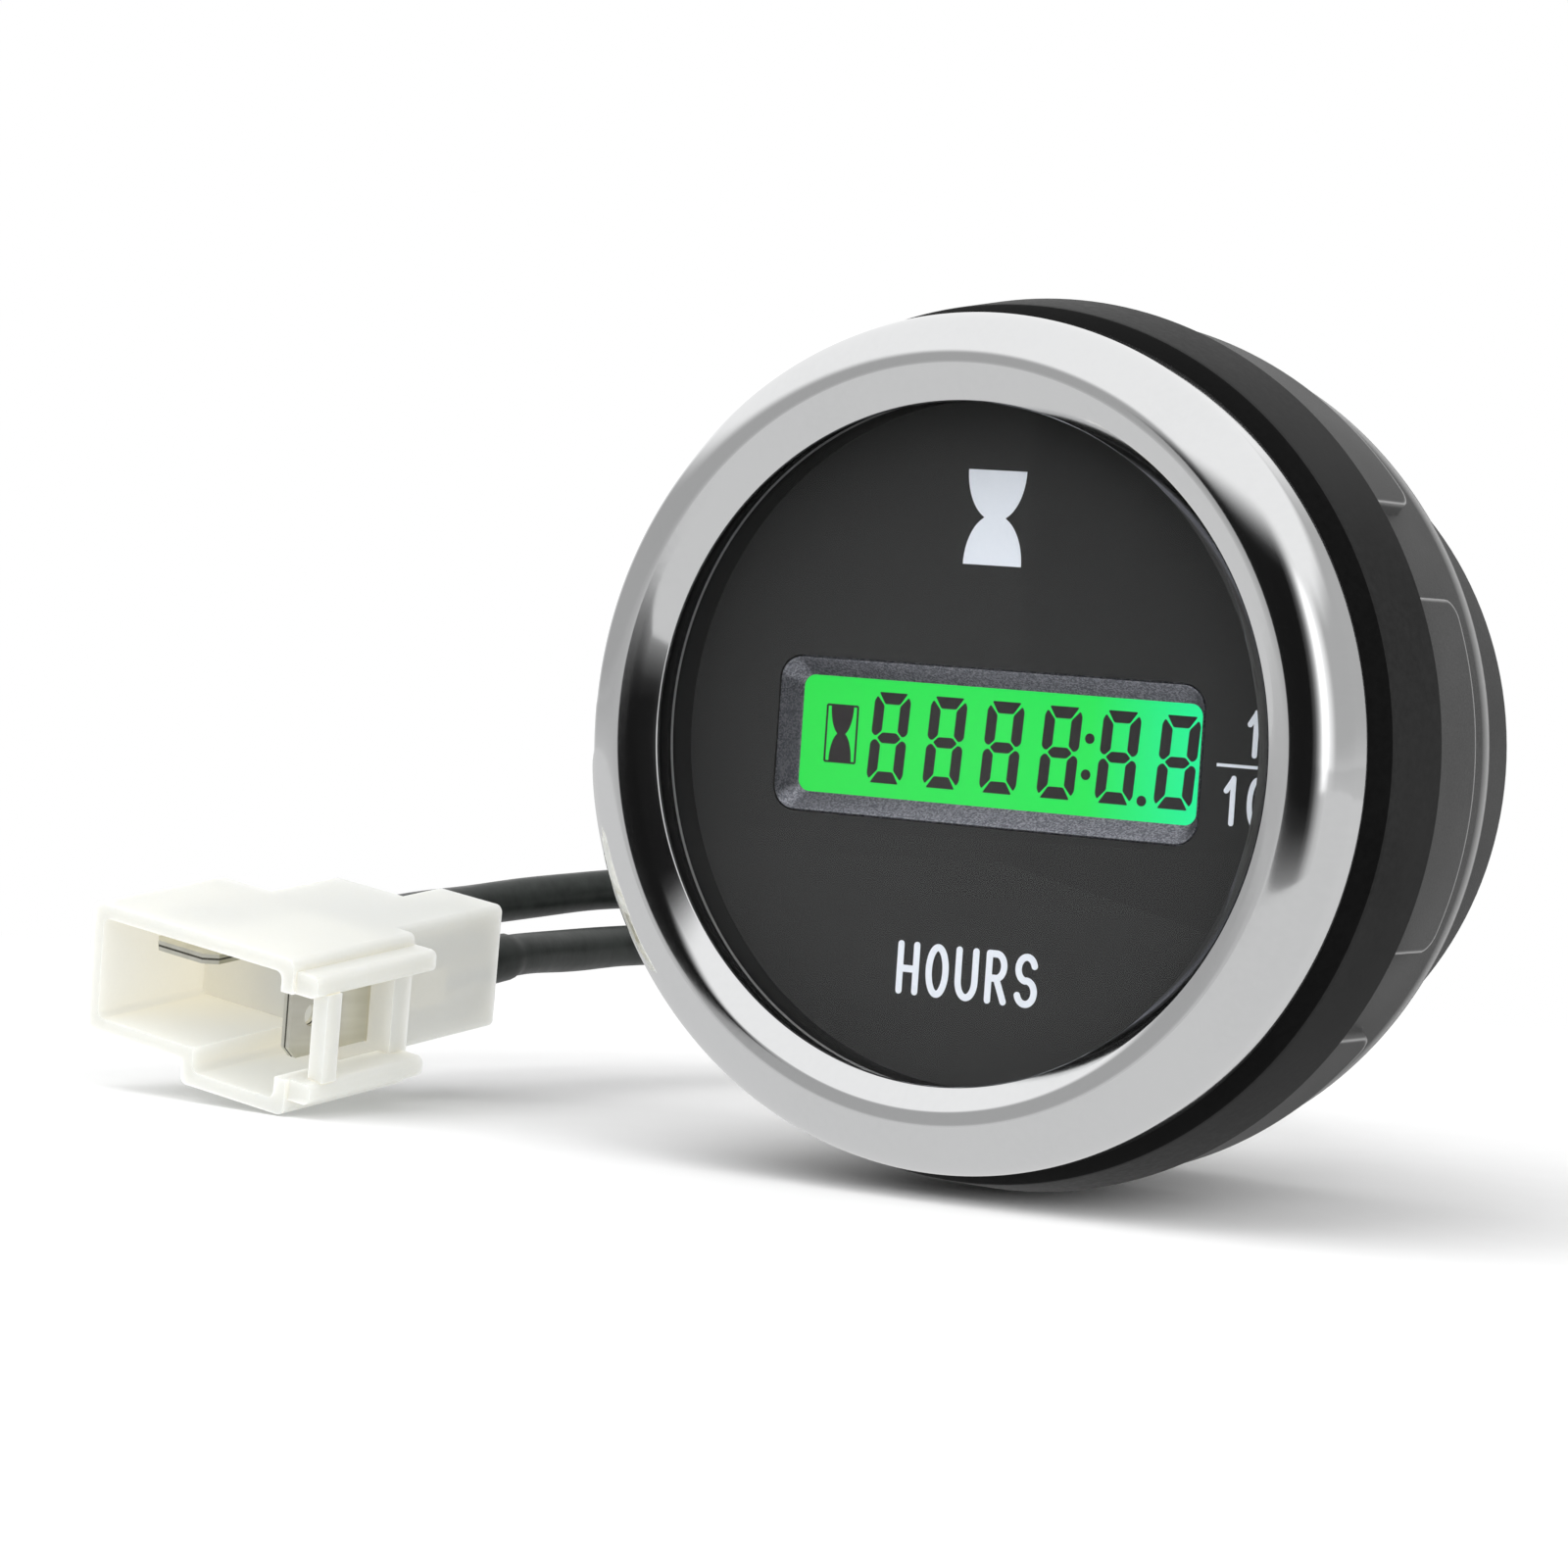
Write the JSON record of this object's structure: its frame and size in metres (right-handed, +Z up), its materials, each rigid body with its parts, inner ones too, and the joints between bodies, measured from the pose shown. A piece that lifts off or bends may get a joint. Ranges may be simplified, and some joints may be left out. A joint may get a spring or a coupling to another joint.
{
  "type": "panel hour meter",
  "caption": "Round panel hour meter: chrome bezel, black dial with a lit segment display, rubber gasket, threaded case with a lock ring, and two leads with a tab connector.",
  "frame": {"origin": "centre of the gasket's rear face, which sits on the front of the panel", "axes": "+Y along the meter's axis, away from the dial and through the panel; +Z up on the dial; +X to the right"},
  "size_m": [0.1046, 0.0774, 0.0636],
  "materials": {
    "chrome": "bright plated",
    "clear_lens": "clear",
    "rubber": "smooth",
    "dial_black": "satin",
    "dial_face": "printed satin",
    "frame_grey": "fine metallic speckle",
    "display": "lit from behind",
    "guide": "frosted",
    "led": "clear resin",
    "strip": "banded elastomer",
    "holder": "moulded",
    "board": "solder mask",
    "screw": "zinc plated",
    "chip": "moulded epoxy",
    "can": "drawn",
    "lead": "sleeved",
    "case": "moulded fine texture",
    "ring": "moulded fine texture",
    "nylon": "translucent satin",
    "tinned": "tin plated"
  },
  "bodies": {
    "meter": {"bezel": "chrome", "lens": "clear_lens", "lens_seal": "rubber", "dial_spacer": "dial_black", "dial_plate": "dial_face", "display_frame": "frame_grey", "display_glass": "display", "light_guide": "guide", "backlight_leds": "led", "contact_strips": "strip", "display_holder": "holder", "circuit_board": "board", "board_screws": "screw", "controller_chip": "chip", "memory_chip": "chip", "regulator": "chip", "crystal": "can", "capacitor": "can", "input_diodes": "chip", "board_leads": "lead", "case": "case", "panel_gasket": "rubber", "cable_grommet": "rubber", "lead_upper": "lead", "lead_lower": "lead", "connector_housing": "nylon", "tab_horizontal": "tinned", "tab_vertical": "tinned"},
    "lock_ring": {"lock_ring": "ring"}
  },
  "joints": [
    {"name": "lock_ring_travel", "type": "slide", "parent": "meter", "child": "lock_ring", "axis": [0, 1, 0], "range_m": [0, 0.012]}
  ]
}
